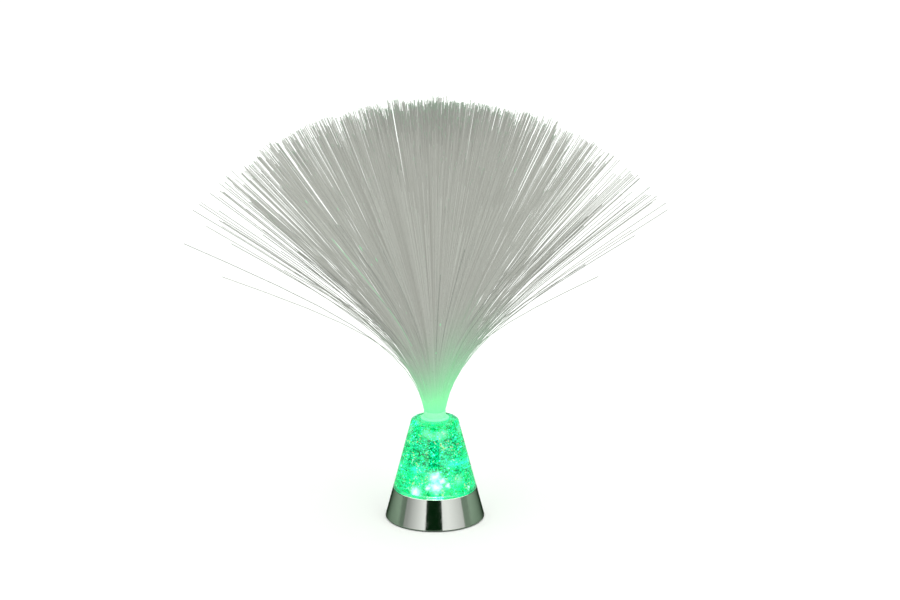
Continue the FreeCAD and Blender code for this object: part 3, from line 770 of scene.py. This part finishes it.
# %% [markdown]
# ## The spray's fibres
# The feet are packed like the seeds of a sunflower: each next one is turned by the golden angle and sits a
# little further out. Each fibre is drawn part of the way to its bunch. On the right the photographed spray is
# thinner and held up a little, and strays are few everywhere. A fibre that would leave the CAD model's box is
# cut shorter. The few leaky ones are marked here, because their place in the spray decides it.
# %% Fibre paths
FIBRES = 2600
STRAYS_FROM = 0.93
STRAYS_LOST = 0.65
THIN_RIGHT = 0.8
THIN_FROM = 0.45
RIGHT_HELD_UP = 0.07
LEAKY = (0.87, 0.895)
LEAN_UNEVEN = 0.05
FIBRE_TRIM = 0.003
PULL = (0.4, 0.95)
PULL_GROWS = 1.6
STRAYS_LOOSE = 0.5
REACH = cad_high.x / MM - 0.4
SHORTER = 2.0
CORE_SHARE = 0.5
MIDDLE_SHARE = 0.8
paths = {"core": [], "middle": [], "outer": []}
for index in range(FIBRES):
    share = math.sqrt((index + 0.5) / FIBRES)
    turn = index * GOLDEN_ANGLE
    stray = max(0.0, (share - STRAYS_FROM) / (1 - STRAYS_FROM))
    to_the_right = max(0.0, math.cos(turn) * share)
    thinned = max(STRAYS_LOST * stray, THIN_RIGHT * (to_the_right - THIN_FROM))
    more = 1 + uneven(LEAN_UNEVEN)
    pull = draw.uniform(*PULL) * share**PULL_GROWS * (1 - STRAYS_LOOSE * stray)
    trim = uneven(FIBRE_TRIM)
    if draw.random() < thinned:
        continue
    direction = leaning(share, turn, more * (1 - RIGHT_HELD_UP * to_the_right))
    nearest = np.argmin(((bunches - np.array(direction)) ** 2).sum(axis=1))
    direction = direction.lerp(Vector(bunches[nearest]), pull)
    length = FIBRE_LENGTH * (1 + bunch_trims[nearest] + trim)
    points = fibre_points(share, turn, direction, length)
    while max(abs(points[-1][0]), abs(points[-1][1])) > REACH * MM:
        length -= SHORTER
        points = fibre_points(share, turn, direction, length)
    group = "core" if share < CORE_SHARE else "middle" if share < MIDDLE_SHARE else "outer"
    paths[group].append((points, stray, LEAKY[0] < to_the_right < LEAKY[1]))
print({group: len(found) for group, found in paths.items()})

# %% [markdown]
# ## Clear fibre
# The fibres are drawn acrylic. A clear fibre is dark at its edges and pale in the middle, so at this size it
# reads as a grey thread, some lighter and some darker, which is painted on as its colour. Each keeps three
# numbers for this as an attribute: its tone, how far along it a point is, and where its nick is, if it has
# one.
# First comes the green light that leaks out, painted on as glow. It fades upward, sooner on the left, and it
# shows again at a nick and as a trace at the cut end.
# %% Light that leaks from a fibre
LEAK_ENDS = (84.0, 200.0)
FADES = (5.2, 3.0)
FADES_ACROSS = 12.0
LEAKY_TONES = (0.985, 0.99)
LEAKY_FADES_LESS = -2.0
NICK_REACH = 0.009
NICK_SHINES = 0.9
TIP_FROM = 0.985
TIP_SHINES = 0.14
tree, shader, place = start_finish("fibre", Roughness=0.32, IOR=1.49)
strand = add_node(tree, "ShaderNodeAttribute", attribute_name="strand").outputs["Vector"]
tone, along, nick = add_node(tree, "ShaderNodeSeparateXYZ", (strand,)).outputs
across, _, height = add_node(tree, "ShaderNodeSeparateXYZ", (place,)).outputs
near = add_node(tree, "ShaderNodeMapRange", (height, *[end * MM for end in LEAK_ENDS], 1.0, 0.0))
power = add_node(tree, "ShaderNodeMapRange", (across, -FADES_ACROSS * MM, FADES_ACROSS * MM, *FADES))
leaky = add_node(tree, "ShaderNodeMapRange", (tone, *LEAKY_TONES, 0.0, LEAKY_FADES_LESS))
power = add_node(tree, "ShaderNodeMath", (power.outputs[0], leaky.outputs[0]))
fade = add_node(tree, "ShaderNodeMath", (near.outputs[0], power.outputs[0]), operation="POWER")
apart = add_node(tree, "ShaderNodeMath", (along, nick), operation="SUBTRACT")
apart = add_node(tree, "ShaderNodeMath", (apart.outputs[0],), operation="ABSOLUTE")
shining = add_node(tree, "ShaderNodeMapRange", (apart.outputs[0], 0.0, NICK_REACH, NICK_SHINES, 0.0))
at_tip = add_node(tree, "ShaderNodeMapRange", (along, TIP_FROM, 1.0, 0.0, TIP_SHINES))
leak = add_node(tree, "ShaderNodeMath", (fade.outputs[0], shining.outputs[0]), operation="MAXIMUM")
leak = add_node(tree, "ShaderNodeMath", (leak.outputs[0], at_tip.outputs[0]), operation="MAXIMUM").outputs[0]
print("green light fades from", LEAK_ENDS[0], "to", LEAK_ENDS[1], "mm")

# %% [markdown]
# A grey thread and a green one are mixed by the leak, once for the skin and once for the light that comes
# through, which is painted on as glow. A fibre that stands alone has no others behind it to light it, so it is
# painted darker, except low down in the bundle, and every fibre's painted glow is darker towards its end.
# %% Fibre finish
LONE_TONE = 0.15
LONE_PAINTED_SHADE = 0.3
LOW_DOWN = (0.15, 0.5)
END_FROM = 0.88
END_LIGHT = 0.6
PAINTED_THREAD_GLOW = 0.76
PAINTED_LEAK_GLOW = 0.62
mixes = (("Base Color", "#787976", "#8A8B87", "#6CCB8C"), ("Emission Color", "#95968F", "#A2A49D", "#86FFB2"))
for socket, dark, pale, green in mixes:
    grey = add_node(tree, "ShaderNodeValToRGB", (tone,), stops=((0.0, dark), (1.0, pale))).outputs["Color"]
    colours = {"Factor": leak, 6: grey, 7: linear(green)}
    mixed = add_node(tree, "ShaderNodeMix", colours, data_type="RGBA")
    tree.links.new(mixed.outputs[2], shader.inputs[socket])
light = add_node(tree, "ShaderNodeMapRange", (leak, 0.0, 1.0, PAINTED_THREAD_GLOW, PAINTED_LEAK_GLOW))
# Painted shade: a fibre with a low tone, a lone stray, glows less.
painted_lone_shade = add_node(tree, "ShaderNodeMapRange", (tone, 0.0, LONE_TONE, LONE_PAINTED_SHADE, 1.0))
low_down = add_node(tree, "ShaderNodeMapRange", (along, *LOW_DOWN, 1.0, 0.0))
painted_lone_shade = add_node(tree, "ShaderNodeMath", (painted_lone_shade.outputs[0], low_down.outputs[0]), operation="MAXIMUM")
ending = add_node(tree, "ShaderNodeMapRange", (along, END_FROM, 1.0, 1.0, END_LIGHT))
light = add_node(tree, "ShaderNodeMath", (light.outputs[0], painted_lone_shade.outputs[0]), operation="MULTIPLY")
light = add_node(tree, "ShaderNodeMath", (light.outputs[0], ending.outputs[0]), operation="MULTIPLY")
tree.links.new(light.outputs[0], shader.inputs["Emission Strength"])
drawn = add_node(tree, "ShaderNodeTexNoise", {"Vector": place, "Scale": 1 / (3.0 * MM), "Detail": 3.0})
gloss = add_node(tree, "ShaderNodeMapRange", (drawn.outputs["Fac"], GRAIN_LOW, GRAIN_HIGH, 0.25, 0.42))
tree.links.new(gloss.outputs[0], shader.inputs["Roughness"])
print("fibre finish")

# %% [markdown]
# ## The spray
# Thousands of tubes would be slow to add one by one, so each group of fibres is one curve with a straight
# spline for each fibre, given a thickness and turned into a mesh. A section with four corners is enough at
# this size. The fibres are drawn 0.5 mm thick, a little more than real ones, so that each one still shows
# in the picture. The mesh's corners don't keep the order of the points, so each is given the numbers of
# the point that it lies nearest to.
# %% Fibres
FIBRE_THICKNESS = 0.5
NICKED = 0.05
NICKS = (0.15, 0.95)
LEAKY_NICKS = (0.36, 0.52)
NO_NICK = -1.0


def spray(group):
    """One piece with all the fibres of a group: a curve with one spline each, made a mesh."""
    line = bpy.data.curves.new("spray_" + group, "CURVE")
    line.dimensions = "3D"
    line.bevel_depth = FIBRE_THICKNESS / 2 * MM
    line.bevel_resolution = 0
    line.use_fill_caps = True
    for points, _, _ in paths[group]:
        spline = line.splines.new("POLY")
        spline.points.add(len(points) - 1)
        spline.points.foreach_set("co", [c for p in points for c in (*p, 1.0)])
    piece = bpy.data.objects.new("spray_" + group, line)
    bpy.context.collection.objects.link(piece)
    bpy.ops.object.select_all(action="DESELECT")
    piece.select_set(True)
    bpy.context.view_layer.objects.active = piece
    bpy.ops.object.convert(target="MESH")
    piece = bpy.context.object
    piece.name = piece.data.name = "spray_" + group
    keep_strands(piece, paths[group])
    bpy.ops.object.shade_smooth_by_angle(angle=math.radians(60))
    dress(piece, "fibre", "fibre_bundle", "fibres_" + group)
    return piece


def keep_strands(piece, fibres):
    """Gives each corner of the mesh its fibre's tone, how far along it lies, and the nick."""
    each = len(piece.data.vertices) // len(fibres)
    corner_places = np.zeros(3 * len(piece.data.vertices))
    piece.data.vertices.foreach_get("co", corner_places)
    values = []
    for (points, stray, leaky), fibre_corners in zip(fibres, corner_places.reshape(-1, each, 3)):
        # Strays get low tones, which paint them darker, and leaky fibres the top tone, which paints a green
        # glow.
        tone = 1.0 if leaky else draw.uniform(LONE_TONE, 1.0) * (1 - stray) ** 3
        nick = draw.uniform(*NICKS) if draw.random() < NICKED else NO_NICK
        if leaky:
            nick = draw.uniform(*LEAKY_NICKS)
        distances = np.linalg.norm(fibre_corners[:, None] - np.array(points)[None], axis=2)
        for station in distances.argmin(axis=1):
            values += [tone, min(STATIONS[station] / FIBRE_LENGTH, 1.0), nick]
    strands = piece.data.attributes.new("strand", "FLOAT_VECTOR", "POINT")
    strands.data.foreach_set("vector", values)


for group in paths:
    print(group, "fibres:", len(paths[group]), "faces:", len(spray(group).data.polygons))

# %% [markdown]
# ## Black plate, pads and stopper
# What is left of the CAD model already has the right shape: the black plate and door below, their screws and
# pads, and all that sits inside. Each gets a finish made for what it is. The plate and door are moulded ABS
# with a spark-eroded texture of 0.6 mm cells, which keeps them from shining. The pads are soft rubber, matt
# and a little dusty. The filling hole's stopper is a pale soft plastic, smooth from its mould.
# %% Black ABS, rubber and stopper
tree, shader, place = start_finish("black_abs", Roughness=0.5)
grain(tree, shader, place, 0.6, 0.05, "ShaderNodeTexVoronoi")
cast = add_node(tree, "ShaderNodeTexNoise", {"Vector": place, "Scale": 1 / (8.0 * MM), "Detail": 4.0})
mottle(tree, shader.inputs["Base Color"], cast.outputs["Fac"], "#161718", "#242627", 0.0, 1.0)

tree, shader, place = start_finish("foot_rubber", Roughness=0.85)
height = grain(tree, shader, place, 0.5, 0.03)
mottle(tree, shader.inputs["Base Color"], height, "#2A2A2B", "#3A3A3B")

tree, shader, place = start_finish("soft_stopper", Roughness=0.6)
height = grain(tree, shader, place, 0.7, 0.02)
mottle(tree, shader.inputs["Base Color"], height, "#C9CEC8", "#E6EAE5")
print("black ABS, rubber and stopper")

# %% [markdown]
# ## Bare metals
# The screws are zinc-plated steel, grey and satin. The cells' contacts are nickel-plated strip, warmer and
# brighter. The switch's can is folded from tinned sheet, the dullest of the three. On all of them a small
# cloudiness changes the shade and the gloss together, so one function makes them.
# %% Metals
def metal(name, dark, light, roughness, size):
    """A metal finish whose shade and gloss vary with one grain size in mm."""
    tree, shader, place = start_finish(name, Metallic=1.0)
    height = grain(tree, shader, place, size, 0.01)
    mottle(tree, shader.inputs["Base Color"], height, dark, light)
    ends = (GRAIN_LOW, GRAIN_HIGH, roughness * 0.8, roughness * 1.3)
    gloss = add_node(tree, "ShaderNodeMapRange", (height, *ends))
    tree.links.new(gloss.outputs[0], shader.inputs["Roughness"])


metal("steel_screw", "#8C8F92", "#B9BCBE", 0.3, 0.8)
metal("nickel_strip", "#B5B1A6", "#D9D5CA", 0.28, 1.5)
metal("switch_can", "#9EA1A2", "#C6C8C8", 0.35, 1.2)
print("metals")

# %% [markdown]
# ## Wires and cells
# The wires have soft vinyl insulation, black and red, with a low sheen. A cell wears a printed film: dark
# grey, with a copper-coloured band at its plus end. The band starts at two thirds of the cell's length.
# %% Wires and cells
CELL_HALF_LENGTH = 22.5
BAND_FROM = 0.66
BAND_TO = 0.68
for name, dark, light in (("black_wire", "#101010", "#1E1E1E"), ("red_wire", "#8E0F0C", "#B81B14")):
    tree, shader, place = start_finish(name, Roughness=0.4)
    height = grain(tree, shader, place, 1.0, 0.02)
    mottle(tree, shader.inputs["Base Color"], height, dark, light)

tree, shader, place = start_finish("cell_jacket", Roughness=0.28)
lengthwise = add_node(tree, "ShaderNodeSeparateXYZ", (place,)).outputs["X"]
ends = (-CELL_HALF_LENGTH * MM, CELL_HALF_LENGTH * MM, 0.0, 1.0)
share_along = add_node(tree, "ShaderNodeMapRange", (lengthwise, *ends)).outputs[0]
mottle(tree, shader.inputs["Base Color"], share_along, "#3C4348", "#C3A15A", BAND_FROM, BAND_TO)
grain(tree, shader, place, 2.0, 0.01)
print("wires and cells")

# %% [markdown]
# ## Board and chip
# The board is glass-fibre laminate under green solder resist. Copper tracks show through it as paler lines,
# which a brick pattern of 8 mm stands for. The chip is a drop of black resin, matt and slightly pitted.
# %% Board and chip
TRACK_PITCH = 8.0
TRACK_WIDTH = 0.06
tree, shader, place = start_finish("circuit_board", Roughness=0.35)
laminate = {"Vector": place, "Scale": 1 / (TRACK_PITCH * MM), "Mortar Size": TRACK_WIDTH}
laminate["Color1"] = linear("#0E5A34")
laminate["Color2"] = linear("#0B4A2B")
laminate["Mortar"] = linear("#1C8050")
tracks = add_node(tree, "ShaderNodeTexBrick", laminate)
tree.links.new(tracks.outputs["Color"], shader.inputs["Base Color"])

tree, shader, place = start_finish("chip_resin", Roughness=0.55)
height = grain(tree, shader, place, 0.3, 0.02)
mottle(tree, shader.inputs["Base Color"], height, "#101112", "#232425")
print("board and chip")

# %% [markdown]
# ## The diodes
# Each diode is a lens of clear epoxy. The green one is lit: bright enough to clip to white at its heart. The
# red and the blue one are off in this moment of the colour cycle and tint what passes through them, and the
# green light on them is painted on as a weaker glow. The reflector is white polystyrene, and the green light
# that falls into it is painted on as glow.
# %% Diodes and reflector
for name, tint, light, strength in (
    ("led_green", "#C8FFE0", "#9CFFD0", 3.0),
    # The red and blue diodes are off: their green glow is painted light.
    ("led_red", "#FFC8BE", "#40FF90", 1.0),
    ("led_blue", "#C8DCFF", "#40FFD0", 1.0),
):
    tree, shader, place = start_finish(name, Roughness=0.12, IOR=1.52)
    shader.inputs["Base Color"].default_value = linear(tint)
    shader.inputs["Transmission Weight"].default_value = 0.6
    shader.inputs["Emission Strength"].default_value = strength
    height = grain(tree, shader, place, 1.5, 0.01)
    mottle(tree, shader.inputs["Emission Color"], height, light, "#FFFFFF", 0.2, 0.9)

tree, shader, place = start_finish("white_plastic", Roughness=0.45)
shader.inputs["Base Color"].default_value = linear("#E8F0EA")
height = grain(tree, shader, place, 1.2, 0.02)
# Painted light: the reflector's green glow stands in for the diode's light falling into it.
mottle(tree, shader.inputs["Emission Color"], height, "#00C868", "#40FFA0")
shader.inputs["Emission Strength"].default_value = 0.9
print("diodes and reflector")

# %% [markdown]
# ## Dressing the kept nodes
# The record names a material slot for each node, and the finishes above have the same names, so the kept
# nodes are dressed by one loop.
# %% Give the kept nodes their finishes
for part in frame["record"]["subparts"]:
    node = frame["nodes"][part["node"]]
    finish = finishes[part["material_slot"]]
    if not node.material_slots:
        node.data.materials.append(finish)
    for material_slot in node.material_slots:
        material_slot.material = finish
print(len(finishes), "finishes")

# %% [markdown]
# ## The floor
# A pale painted floor that reaches past the picture. The photograph's floor was bleached white after it was
# taken, but what the plated base mirrors is still the grey it was. So the floor is pale where it is seen, and
# greyer and greener for mirrored rays, which the Light Path node tells apart: that grey-green is a painted
# reflection.
# %% Floor
FLOOR_SIZE = 24.0
FLOOR_CLOUDS = 400.0
bpy.ops.object.select_all(action="DESELECT")
bpy.ops.mesh.primitive_plane_add(size=FLOOR_SIZE, location=(0, 0, 0))
studio_floor = bpy.context.object
studio_floor.name = "studio_floor"
tree, shader, place = start_finish("floor_paint", Roughness=0.9)
cloudy = add_node(tree, "ShaderNodeTexNoise", {"Vector": place, "Scale": 1 / (FLOOR_CLOUDS * MM)})
whites = ((0.0, "#F2F3F1"), (1.0, "#F8F9F7"))
pale = add_node(tree, "ShaderNodeValToRGB", (cloudy.outputs["Fac"],), stops=whites)
mirrored = add_node(tree, "ShaderNodeLightPath").outputs["Is Glossy Ray"]
# Painted reflection: mirrored rays see the floor grey-green.
colours = {"Factor": mirrored, 6: pale.outputs["Color"], 7: linear("#6E8571")}
paint = add_node(tree, "ShaderNodeMix", colours, data_type="RGBA")
tree.links.new(paint.outputs[2], shader.inputs["Base Color"])
studio_floor.data.materials.append(finishes["floor_paint"])
print("floor", FLOOR_SIZE, "m wide")

# %% [markdown]
# ## A soft light
# Each soft box is a large area light on the floor's edge that faces the lamp. A real one is brightest near
# its bulb, so its strength falls off from one side to the other. That is read from the light's own surface,
# where Parametric runs from 0 to 1 across it. Its power is worked out from how bright it should look.
# %% Soft boxes
def round_the_lamp(degrees, distance, height):
    """A place at an angle from the camera's side, seen from the lamp."""
    turn = math.radians(degrees)
    return (distance * math.sin(turn), -distance * math.cos(turn), height)


def soft_box(name, degrees, distance, width, height, middle, radiance, falls):
    """A tall soft light that faces the lamp and grows dim from one side to the other."""
    place = round_the_lamp(degrees, distance, middle)
    bpy.ops.object.light_add(type="AREA", location=place)
    box = bpy.context.object
    box.name = name
    box.data.shape = "RECTANGLE"
    box.data.size = width
    box.data.size_y = height
    box.data.energy = radiance * math.pi * width * height
    box.rotation_euler = (Vector((0, 0, middle)) - Vector(place)).to_track_quat("-Z", "Y").to_euler()
    box.data.use_nodes = True
    tree = box.data.node_tree
    surface = add_node(tree, "ShaderNodeNewGeometry").outputs["Parametric"]
    side = add_node(tree, "ShaderNodeSeparateXYZ", (surface,)).outputs["X"]
    fall = add_node(tree, "ShaderNodeMapRange", (side, *falls)).outputs[0]
    tree.links.new(fall, tree.nodes["Emission"].inputs["Strength"])
    return box


print("45 degrees to the right, 2 m off:", [round(c, 2) for c in round_the_lamp(45, 2, 1)])

# %% [markdown]
# ## The lights
# Two tall soft boxes stand beside the camera. The plated base mirrors them as its bright bands, and the dark
# gap between them as the stripe down its middle. Grey cloths at the sides and behind give the dim bands at
# its edges. They are faint green lights that the camera doesn't see.
# %% Lights
BOX_DISTANCE = 2.2
BOX_WIDTH = 2.3
BOX_HEIGHT = 2.4
BOX_MIDDLE = 1.15
CLOTH_DISTANCE = 2.6
CLOTH_WIDTH = 2.9
CLOTH_HEIGHT = 1.8
EVEN = (0.0, 1.0, 1.0, 1.0)
boxes = (("box_right", 45, (0.3, 1.0, 1.0, 0.6)), ("box_left", -49, (0.15, 0.9, 0.35, 1.0)))
for name, degrees, falls in boxes:
    soft_box(name, degrees, BOX_DISTANCE, BOX_WIDTH, BOX_HEIGHT, BOX_MIDDLE, 0.9, falls)
cloths = (("cloth_right", 102, 0.22), ("cloth_left", -106, 0.17), ("cloth_back", 180, 0.5))
for name, degrees, radiance in cloths:
    middle = CLOTH_HEIGHT / 2
    cloth = soft_box(name, degrees, CLOTH_DISTANCE, CLOTH_WIDTH, CLOTH_HEIGHT, middle, radiance, EVEN)
    cloth.data.color = (0.78, 1.0, 0.8)
    cloth.visible_camera = False
print("two boxes and three cloths")

# %% [markdown]
# ## Ceiling and air
# A very wide sun stands for the light that a white ceiling sends down, and keeps the lamp's shadow soft. The
# air is pale where the camera sees it above the floor, and dark green for all other rays, because that is
# what the plated base and the vessel mirror in the photograph. The picture keeps the plain view transform.
# %% Ceiling and air
bpy.ops.object.light_add(type="SUN", location=(0, 0, 3))
ceiling = bpy.context.object
ceiling.name = "ceiling_wash"
ceiling.data.angle = math.radians(100)
ceiling.data.energy = 3.8
world = bpy.data.worlds.new("studio_air")
bpy.context.scene.world = world
world.use_nodes = True
air = world.node_tree
seen = add_node(air, "ShaderNodeLightPath").outputs["Is Camera Ray"]
mottle(air, air.nodes["Background"].inputs["Color"], seen, "#04200A", "#F8F9F7", 0.0, 1.0)
bpy.context.scene.view_settings.view_transform = "Standard"
print("lights ready")
